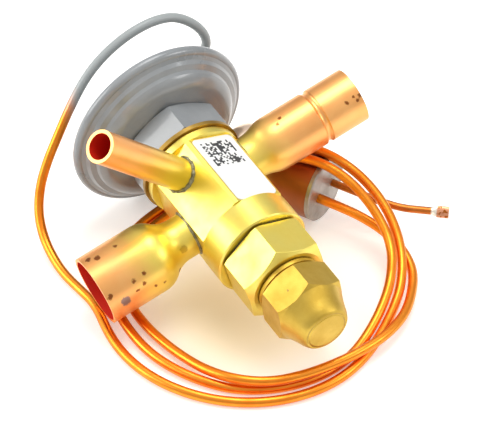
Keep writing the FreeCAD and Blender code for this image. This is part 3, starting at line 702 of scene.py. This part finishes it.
def new_piece(name: str, mesh: bpy.types.Mesh, material: bpy.types.Material, body: str) -> bpy.types.Object:
    """Puts a mesh in the scene as a piece that rides on a body.

    Args:
        name: The piece's name.
        mesh: Its mesh, in the shared frame.
        material: Its material.
        body: The body that carries it.

    Returns:
        The new object.
    """
    mesh.materials.clear()
    mesh.materials.append(material)
    piece = bpy.data.objects.new(name, mesh)
    bpy.context.scene.collection.objects.link(piece)
    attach(piece, body)
    return piece


def paint_node(node: bpy.types.Object, material: bpy.types.Material) -> None:
    """Gives a carried-over node its material.

    Args:
        node: The node's object.
        material: Its finish.
    """
    node.data.materials.clear()
    node.data.materials.append(material)


@dataclass
class EdgedPart:
    """A machined part with its sharp edges broken, made from its node's own shape."""

    node: str
    slot: str
    body: str
    edge: float = 0.22
    sharp_angle: float = 28.0
    crease: float = 34.0
    segments: int = 3
    flat_angle: float = 0.4
    merge_reach: float = 0.000002

    def build(self, frame: dict, material: bpy.types.Material) -> bpy.types.Object:
        """Makes the edged piece and lets it stand for the node.

        Args:
            material: The part's finish.

        Returns:
            The new piece.
        """
        mesh = frame["nodes"][self.node].data.copy()
        mesh.name = self.node + "_edged"
        work = bmesh.new()
        work.from_mesh(mesh)
        bmesh.ops.remove_doubles(work, verts=work.verts, dist=self.merge_reach)
        bmesh.ops.dissolve_limit(
            work, angle_limit=math.radians(self.flat_angle), verts=work.verts, edges=work.edges, delimit=set())
        sharp = [
            edge for edge in work.edges
            if len(edge.link_faces) == 2 and edge.calc_face_angle(0.0) > math.radians(self.sharp_angle)]
        bmesh.ops.bevel(
            work, geom=sharp, offset=self.edge * MM, offset_type="OFFSET", segments=self.segments, profile=0.5,
            affect="EDGES", clamp_overlap=True)
        for face in work.faces:
            face.smooth = True
        work.to_mesh(mesh)
        work.free()
        mesh.set_sharp_from_angle(angle=math.radians(self.crease))
        piece = new_piece(self.node + "_edged", mesh, material, self.body)
        even = piece.modifiers.new("even normals", "WEIGHTED_NORMAL")
        even.keep_sharp = True
        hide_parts(self.node)
        return piece


@dataclass
class SolderBead:
    """Uneven bead of silver solder round the foot of a tube."""

    bead: Bead
    azimuth: float
    height: float
    tube_radius: float
    foot: float = 10.95
    width: float = 0.62
    rise: float = 0.7
    tuck: float = 0.98
    stretch: float = 1.05
    gap: float = 0.02
    around: int = 96
    across: int = 9
    wave_count: int = 6
    wave_sizes: tuple[float, float] = (0.03, 0.10)
    wave_turns: tuple[int, int] = (3, 17)
    seed: int = 3

    def build(self, material: bpy.types.Material) -> bpy.types.Object:
        """Makes the bead and lets it stand for the ring.

        Args:
            material: The solder's finish.

        Returns:
            The new piece.
        """
        spread = random.Random(self.seed)
        waves = [
            (spread.uniform(*self.wave_sizes), spread.randint(*self.wave_turns), spread.uniform(0, math.tau))
            for _ in range(self.wave_count)]
        way = port_way(self.azimuth)
        level = way.cross(HEAD_WAY).normalized()
        origin = CENTRE + HEAD_WAY * self.height * MM
        work = bmesh.new()
        rows = []
        for turn in range(self.around):
            angle = math.tau * turn / self.around
            swell = 1.0 + sum(size * math.sin(count * angle + phase) for size, count, phase in waves)
            outward = level * math.cos(angle) + HEAD_WAY * math.sin(angle)
            row = []
            for step in range(self.across):
                bend = 0.5 * math.pi * step / (self.across - 1)
                reach = self.tube_radius + self.width * swell * (1.0 - math.sin(bend) * self.tuck)
                lift = self.foot + self.rise * swell * (1.0 - math.cos(bend)) * self.stretch + self.gap
                row.append(work.verts.new(origin + (outward * reach + way * lift) * MM))
            rows.append(row)
        for here, there in zip(rows, rows[1:] + rows[:1]):
            for low in range(self.across - 1):
                work.faces.new((here[low], there[low], there[low + 1], here[low + 1])).smooth = True
        bmesh.ops.recalc_face_normals(work, faces=work.faces)
        mesh = bpy.data.meshes.new(self.bead.value + "_bead")
        work.to_mesh(mesh)
        work.free()
        piece = new_piece(mesh.name, mesh, material, VALVE)
        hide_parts(self.bead.value)
        return piece


@dataclass
class Capillary:
    """Capillary tube from the head, round its loose coil, to the bulb."""

    radius: float = 1.2
    length: float = 0.7177
    coil_x: float = 11.8
    coil_y: float = -2.0
    coil_start: float = 258.2
    coil_step: float = 15.0
    facets: int = 5
    fineness: int = 8
    order: int = 3
    head_route: list[Place] = field(default_factory=lambda: [
        (-39.4, -2.1, 23.9), (-44.4, -2.1, 24.3), (-47.3, 0.9, 25.4), (-47.3, 8.0, 26.4), (-44.9, 14.5, 28.0),
        (-43.0, 18.2, 32.8), (-43.5, 16.4, 39.0), (-45.3, 10.9, 43.7), (-45.5, 4.8, 45.2), (-45.3, -2.5, 44.4),
        (-45.7, -9.6, 40.6), (-45.3, -15.5, 35.8), (-44.1, -20.7, 29.6), (-42.6, -25.2, 23.6),
        (-41.5, -29.1, 17.8), (-39.6, -32.4, 12.6), (-36.4, -34.9, 7.9), (-31.9, -36.3, 4.5),
        (-26.4, -37.0, 2.5), (-20.2, -37.2, 1.4), (-13.6, -36.5, 1.3), (-6.8, -35.8, 1.3)])
    coil_stations: list[Place] = field(default_factory=lambda: [
        (0, 37.2, 1.3), (45, 35.4, 1.3), (75, 34.4, 1.3), (105, 33.2, 1.3), (120, 32.3, 1.3), (135, 31.8, 1.3),
        (150, 32.6, 1.8), (165, 35.1, 3.2), (180, 37.5, 6.4), (195, 38.7, 11.2), (210, 38.7, 15.6),
        (225, 38.2, 18.5), (240, 37.2, 19.1), (255, 36.5, 18.0), (270, 36.3, 10.6), (285, 36.9, 5.0),
        (300, 38.1, 2.6), (315, 37.9, 1.4), (330, 35.9, 1.3), (360, 32.2, 1.3), (375, 31.3, 1.3), (390, 30.6, 1.3),
        (405, 30.4, 1.3), (420, 30.7, 1.3), (435, 30.4, 1.3), (465, 29.8, 1.3), (480, 29.4, 1.3), (495, 29.2, 1.9),
        (510, 30.3, 3.4), (525, 32.5, 5.2), (540, 34.9, 7.8), (555, 35.2, 12.0), (570, 34.4, 16.8),
        (585, 33.7, 19.1), (600, 33.3, 18.2), (615, 33.2, 15.2), (630, 33.6, 8.6), (645, 34.5, 4.6),
        (660, 35.5, 2.2), (675, 34.9, 1.3), (690, 32.7, 1.3), (705, 30.3, 1.3), (720, 27.9, 1.3), (735, 26.5, 1.3),
        (750, 26.4, 1.6), (765, 28.2, 3.0), (780, 30.2, 4.2), (795, 30.8, 4.2), (810, 30.3, 4.1), (825, 30.5, 4.1),
        (840, 31.9, 4.1), (855, 34.1, 3.7), (870, 36.3, 3.0), (885, 37.9, 2.8)])
    bulb_route: list[Place] = field(default_factory=lambda: [
        (24.0, 34.7, 3.4), (18.3, 35.7, 4.2), (12.0, 34.7, 5.6), (6.6, 32.1, 7.1), (1.42, 29.02, 8.0),
        (-6.06, 25.21, 8.0)])

    def coil(self) -> list[Place]:
        """Points of the coil, at even steps of its turned angle.

        Returns:
            The points in millimetres.
        """
        points = []
        steps = round(self.coil_stations[-1][0] / self.coil_step)
        for step in range(steps + 1):
            turned = step * self.coil_step
            for low, high in zip(self.coil_stations, self.coil_stations[1:]):
                if low[0] <= turned <= high[0]:
                    share = (turned - low[0]) / (high[0] - low[0])
                    radius = low[1] + share * (high[1] - low[1])
                    height = low[2] + share * (high[2] - low[2])
                    break
            angle = math.radians(self.coil_start + turned)
            points.append((self.coil_x + radius * math.cos(angle), self.coil_y + radius * math.sin(angle), height))
        return points

    def build(self, material: bpy.types.Material, carried: list[bpy.types.Object]) -> bpy.types.Object:
        """Args:
            material: The tube's finish.
            carried: The pieces on the tube's far end; not used.

        Returns:
            The curve object.
        """
        points = self.head_route + self.coil() + self.bulb_route
        curve = bpy.data.curves.new("capillary", "CURVE")
        curve.dimensions = "3D"
        curve.bevel_depth = self.radius * MM
        curve.bevel_resolution = self.facets
        curve.resolution_u = self.fineness
        curve.use_fill_caps = True
        spline = curve.splines.new("NURBS")
        spline.points.add(len(points) - 1)
        for knot, place in zip(spline.points, points):
            knot.co = (*(part * MM for part in place), 1.0)
        spline.order_u = self.order
        spline.use_endpoint_u = True
        curve.materials.append(material)
        piece = bpy.data.objects.new("capillary", curve)
        bpy.context.scene.collection.objects.link(piece)
        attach(piece, VALVE)
        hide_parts("capillary_tube")
        return piece


@dataclass
class ClosingSpring:
    """The superheat spring in two halves."""

    node: str = "superheat_spring"
    middle: float = -12.1
    cut_reach: float = 0.0000001
    ends: tuple[tuple[str, str, float], ...] = (
        ("spring_upper_half", "pin_train", -6.6), ("spring_lower_half", "spring_seat_nut", -17.6))

    def build(self, frame: dict, material: bpy.types.Material) -> list[bpy.types.Object]:
        """Cuts the spring at its middle into two halves, each closed at the cut.

        Args:
            material: The wire's finish.

        Returns:
            The two halves.
        """
        halves = []
        centre = valve_point(0.0, 0.0, self.middle)
        for name, body, end in self.ends:
            work = bmesh.new()
            work.from_mesh(frame["nodes"][self.node].data)
            normal = HEAD_WAY if end > self.middle else -HEAD_WAY
            cut = bmesh.ops.bisect_plane(
                work, geom=work.verts[:] + work.edges[:] + work.faces[:], dist=self.cut_reach, plane_co=centre,
                plane_no=normal, clear_inner=True)
            rim = [part for part in cut["geom_cut"] if isinstance(part, bmesh.types.BMEdge)]
            bmesh.ops.contextual_create(work, geom=rim)
            mesh = bpy.data.meshes.new(name)
            work.to_mesh(mesh)
            work.free()
            mesh.materials.append(material)
            piece = bpy.data.objects.new(name, mesh)
            bpy.context.scene.collection.objects.link(piece)
            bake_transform(piece)
            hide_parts(self.node)
            halves.append(piece)
        return halves


@dataclass
class StickerPrint:
    """Patch of meaningless small squares on the white sticker."""

    azimuth: float = 120.0
    face: float = 11.10
    lift: float = 0.01
    left: float = -4.1
    top: float = 12.2
    cell: float = 0.485
    cells: int = 17
    share: float = 0.5
    seed: int = 11

    def build(self, material: bpy.types.Material) -> bpy.types.Object:
        """Makes the patch.

        Args:
            material: The dark print.

        Returns:
            The new piece.
        """
        pick = random.Random(self.seed)
        way = port_way(self.azimuth)
        level = HEAD_WAY.cross(way).normalized()
        work = bmesh.new()
        for row in range(self.cells):
            for column in range(self.cells):
                if pick.random() > self.share:
                    continue
                corner = CENTRE + (
                    way * (self.face + self.lift) + level * (self.left + column * self.cell)
                    + HEAD_WAY * (self.top - row * self.cell)) * MM
                side, down = level * self.cell * MM, -HEAD_WAY * self.cell * MM
                places = (corner, corner + side, corner + side + down, corner + down)
                work.faces.new([work.verts.new(place) for place in places])
        mesh = bpy.data.meshes.new("sticker_print")
        work.to_mesh(mesh)
        work.free()
        piece = new_piece("sticker_print", mesh, material, VALVE)
        return piece


# ---- stage


@dataclass(frozen=True)
class Lamp:
    """A soft square lamp that faces the valve, placed as the camera sees it, in metres and watts."""

    name: str
    right: float
    near: float
    up: float
    size: float
    power: float


@dataclass
class Studio:
    """Pale floor, soft lamps and the camera at the photograph's angle."""

    sight: Place = (0.4472, -0.27705, 0.50539)
    forward: Place = (-0.62335, 0.38700, -0.6795)
    lens: float = 224.8
    sensor: float = 36.0
    nearest: float = 0.01
    floor_size: float = 6.0
    floor_colour: Colour = (0.90, 0.89, 0.87)
    # Darker yellow patch under the valve: painted shadow with painted reflection of the brass.
    shade_and_reflection_colour: Colour = (0.76, 0.65, 0.46)
    shade_and_reflection_middle: Place = (0.012, -0.006, 0.0)
    shade_and_reflection_reach: float = 0.040
    shade_and_reflection_core: float = 0.004
    glow: float = 0.42
    sky_heights: tuple[float, float] = (-0.1, 0.9)
    sky_strengths: tuple[float, float] = (0.42, 0.85)
    mirrored: float = 1.22
    lamps: tuple[Lamp, ...] = (
        Lamp("left softbox", -0.90, 0.02, 0.42, 0.60, 5.5), Lamp("right softbox", 0.70, 0.10, 0.50, 0.30, 1.5),
        Lamp("top softbox", 0.05, -0.20, 0.90, 0.50, 4.0))

    def _floor_material(self) -> bpy.types.Material:
        """Makes the pale floor's material, with a painted shadow and a painted reflection of the brass under the
        valve.

        Returns:
            The material.
        """
        material = bpy.data.materials.new("pale floor")
        material.use_nodes = True
        material.node_tree.nodes.clear()
        graph = Graph(material.node_tree)
        reach = graph.vector("LENGTH", graph.vector("SUBTRACT", graph.place(), self.shade_and_reflection_middle))
        feeds = {"Value": reach, "From Min": self.shade_and_reflection_reach, "From Max": self.shade_and_reflection_core}
        # Share of the painted shadow and reflection, strongest under the valve.
        shade_and_reflection = graph.add("MapRange", feeds, interpolation_type="SMOOTHERSTEP").outputs["Result"]
        tint = graph.mix(shade_and_reflection, self.floor_colour, self.shade_and_reflection_colour)
        path = graph.add("LightPath").outputs
        seen = graph.math("MAXIMUM", path["Is Camera Ray"], path["Is Glossy Ray"])
        seen = graph.math("MAXIMUM", seen, path["Is Transmission Ray"])
        matte = graph.add("BsdfDiffuse", {"Color": tint})
        glow = graph.add("Emission", {"Color": tint, "Strength": graph.math("MULTIPLY", seen, self.glow)})
        both = graph.add("AddShader", {0: matte.outputs[0], 1: glow.outputs[0]})
        graph.add("OutputMaterial", {"Surface": both.outputs[0]})
        return material

    def floor(self) -> None:
        """Makes the floor, which glows a little where it is seen and keeps shadows."""
        half = self.floor_size / 2
        mesh = bpy.data.meshes.new("floor")
        corners = [(-half, -half, 0.0), (half, -half, 0.0), (half, half, 0.0), (-half, half, 0.0)]
        mesh.from_pydata(corners, [], [(0, 1, 2, 3)])
        mesh.materials.append(self._floor_material())
        floor = bpy.data.objects.new("floor", mesh)
        bpy.context.scene.collection.objects.link(floor)

    def world(self) -> None:
        """Makes the world: white where it is seen, softly shaded where it lights."""
        world = bpy.data.worlds.new("studio")
        bpy.context.scene.world = world
        world.use_nodes = True
        world.node_tree.nodes.clear()
        graph = Graph(world.node_tree)
        way = graph.add("TexCoord").outputs["Generated"]
        height = graph.add("SeparateXYZ", {0: way}).outputs["Z"]
        low, high = self.sky_heights
        dim, bright = self.sky_strengths
        feeds = {"Value": height, "From Min": low, "From Max": high, "To Min": dim, "To Max": bright}
        rise = graph.add("MapRange", feeds).outputs["Result"]
        path = graph.add("LightPath").outputs
        gain = graph.span(path["Is Glossy Ray"], 1.0, self.mirrored)
        light = graph.add("Background", {"Strength": graph.math("MULTIPLY", rise, gain)})
        seen = graph.add("Background")
        mix = graph.add("MixShader", {0: path["Is Camera Ray"], 1: light.outputs[0], 2: seen.outputs[0]})
        graph.add("OutputWorld", {"Surface": mix.outputs[0]})

    def light(self, lamp: Lamp) -> None:
        """Adds a lamp to the scene.

        Args:
            lamp: The lamp's place, size and power.
        """
        level = Vector((self.forward[0], self.forward[1], 0.0)).normalized()
        across = level.cross(Vector((0.0, 0.0, 1.0)))
        place = across * lamp.right - level * lamp.near + Vector((0.0, 0.0, lamp.up))
        light = bpy.data.lights.new(lamp.name, "AREA")
        light.shape = "RECTANGLE"
        light.size = lamp.size
        light.size_y = lamp.size
        light.energy = lamp.power
        holder = bpy.data.objects.new(lamp.name, light)
        bpy.context.scene.collection.objects.link(holder)
        holder.location = place
        holder.rotation_euler = (CENTRE - place).to_track_quat("-Z", "Y").to_euler()

    def camera(self) -> None:
        """Makes the camera."""
        data = bpy.data.cameras.new("camera")
        data.lens = self.lens
        data.sensor_width = self.sensor
        data.sensor_fit = "HORIZONTAL"
        data.clip_start = self.nearest
        camera = bpy.data.objects.new("camera", data)
        bpy.context.scene.collection.objects.link(camera)
        camera.location = self.sight
        camera.rotation_euler = Vector(self.forward).to_track_quat("-Z", "Y").to_euler()
        bpy.context.scene.camera = camera

    def build(self) -> None:
        """Sets up the whole stage."""
        self.camera()
        self.floor()
        self.world()
        for lamp in self.lamps:
            self.light(lamp)
        bpy.context.scene.view_settings.view_transform = "Standard"


def make_finishes(effects: Effects) -> dict[str, bpy.types.Material]:
    """Builds every finish of the valve.

    Args:
        effects: The shared shader groups.

    Returns:
        Materials by name.
    """
    centre = tuple(CENTRE)
    inlet_start = tuple(valve_point(0.0, 0.0, INLET_HEIGHT))
    equalizer_start = tuple(valve_point(0.0, 0.0, EQUALIZER_HEIGHT))
    finishes = {
        "brass": BrassFinish("machined brass"),
        "forged": BrassFinish("forged brass", bright=(0.66, 0.455, 0.085), deep=(0.54, 0.35, 0.052),
                              wear=Wear.FORGED, roughness=0.34, fine=3600.0, ring_radius=0.0051),
        "outlet": TubeFinish("outlet copper", centre, tuple(OUTLET_WAY), 0.022, 0.034, 0.12, OUTLET_STAINS),
        # The inlet's bore gets a duller red painted reflection.
        "inlet": TubeFinish("inlet copper", inlet_start, tuple(-OUTLET_WAY), 0.012, 0.026, 0.08, INLET_STAINS,
                            bore_reflection=(0.66, 0.12, 0.04)),
        "equalizer": TubeFinish(
            "equalizer copper", equalizer_start, tuple(port_way(EQUALIZER_AZIMUTH)), 0.017, 0.036, 0.1),
        "capillary": CapillaryFinish(),
        "crimped": CrimpFinish(),
        "paint": PaintFinish(),
        "solder": MetalFinish("silver solder", (0.40, 0.37, 0.24), (0.15, 0.13, 0.06), 0.42, 0.8, 900.0),
        # The plug's metal is darker than bare metal: painted shade, for the shade that the plug lies in.
        "plug": MetalFinish("plug metal", (0.47, 0.44, 0.41), (0.33, 0.29, 0.25), 0.38),
        # On the sensing bulb the two colours are painted light and shade: dark brown as painted shade at the plug
        # end, pale copper as painted light on the lit rear.
        "bulb": TubeFinish("bulb copper", (-0.0058, 0.0291, 0.0086), (-0.891, -0.454, 0.0), 0.011, 0.021, 0.1,
                           copper=(1.0, 0.72, 0.54), tint_and_shade=(0.36, 0.12, 0.05)),
        "ring": MetalFinish("gold ring", (0.46, 0.29, 0.07), (0.26, 0.15, 0.03), 0.36),
        "steel": MetalFinish("ground steel", (0.62, 0.62, 0.63), (0.50, 0.50, 0.51), 0.24),
        "gauze": GauzeFinish(),
        "rubber": MetalFinish("dark seal", (0.03, 0.03, 0.03), (0.05, 0.05, 0.045), 0.55, metallic=0.0),
        "film": MetalFinish("sticker film", (0.88, 0.88, 0.86), (0.82, 0.82, 0.80), 0.45, 0.05, metallic=0.0),
        "print": MetalFinish("dark print", (0.03, 0.03, 0.035), (0.06, 0.06, 0.06), 0.5, 0.05, metallic=0.0),
    }
    return {key: finish.build(effects) for key, finish in finishes.items()}


OUTLET_STAINS = (
    Stain((-4.2, -38.8, 19.8), 1.0), Stain((-3.0, -37.0, 20.5), 1.1), Stain((5.6, -32.1, 17.5), 0.85),
    Stain((5.5, -29.3, 18.6), 0.8, stretch=(1.0, 1.0, 0.4)), Stain((6.4, -29.8, 16.4), 0.9),
    Stain((7.0, -27.0, 14.5), 0.75), Stain((7.1, -24.6, 14.6), 0.75), Stain((5.6, -38.6, 15.6), 1.0),
    Stain((6.7, -35.0, 13.4), 1.45, Palette.OLD_STAIN), Stain((6.6, -31.7, 15.2), 0.8),
    Stain((-3.2, -32.0, 21.7), 0.85), Stain((3.6, -17.2, 18.8), 1.3, (0.62, 0.44, 0.08)))
INLET_STAINS = (
    Stain((-10.1, 17.9, 33.6), 0.8), Stain((-8.9, 16.6, 33.1), 0.8), Stain((-4.6, 33.7, 35.2), 0.85),
    Stain((-4.8, 35.6, 36.0), 0.75), Stain((-4.5, 37.4, 36.1), 0.9), Stain((-4.0, 36.5, 35.3), 0.75))

NODE_FINISHES = {
    "outlet_fitting": "outlet", "inlet_fitting": "inlet", "equalizer_tube": "equalizer",
    "seat_orifice": "steel", "valve_pin": "steel", "pin_carrier": "brass", "push_rod_front": "steel",
    "push_rod_back": "steel", "buffer_plate": "steel", "spring_seat": "brass",
    "adjusting_stem": "steel", "stem_packing": "rubber", "packing_follower": "brass", "housing_gasket": "rubber",
    "body_gasket": "ring", "lower_casing": "paint", "upper_casing": "paint", "diaphragm": "steel",
    "capillary_ferrule": "paint", "identification_label": "film", "inlet_strainer": "gauze",
    "sensing_bulb": "bulb", "bulb_end_plug": "plug", "charge_tube": "crimped",
}


def main() -> None:
    """Builds the stage and every piece, and reports each through logging."""
    logging.basicConfig(level=logging.INFO, format="%(name)s: %(message)s")
    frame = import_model()
    Studio().build()
    finishes = make_finishes(Effects())
    nodes = frame["nodes"]
    for node, finish in NODE_FINISHES.items():
        paint_node(nodes[node], finishes[finish])
    carried = [nodes[name] for name in ("sensing_bulb", "bulb_end_plug", "charge_tube")]
    LOG.info("capillary %s", Capillary().build(finishes["capillary"], carried).name)
    edged = (
        (EdgedPart("valve_body", "yellow_brass", VALVE), "brass"),
        (EdgedPart("bottom_nut", "yellow_brass", VALVE, 0.3), "brass"),
        (EdgedPart("seal_cap", "yellow_brass", CAP, 0.3, 17.0, 40.0), "forged"),
        (EdgedPart("head_hub", "grey_paint", VALVE, 0.35), "paint"),
    )
    for part, finish in edged:
        LOG.info("edged part %s", part.build(frame, finishes[finish]).name)
    beads = (
        SolderBead(Bead.OUTLET, 0.0, 0.0, 5.4, width=0.45, rise=0.5, seed=4),
        SolderBead(Bead.INLET, 180.0, INLET_HEIGHT, 5.6, width=0.35, rise=0.35, seed=5),
        SolderBead(Bead.EQUALIZER, EQUALIZER_AZIMUTH, EQUALIZER_HEIGHT, 4.0, seed=6),
    )
    for bead in beads:
        LOG.info("bead %s", bead.build(finishes["solder"]).name)
    for half in ClosingSpring().build(frame, finishes["steel"]):
        LOG.info("spring %s", half.name)
    LOG.info("print %s", StickerPrint().build(finishes["print"]).name)


if __name__ == "__main__":
    main()
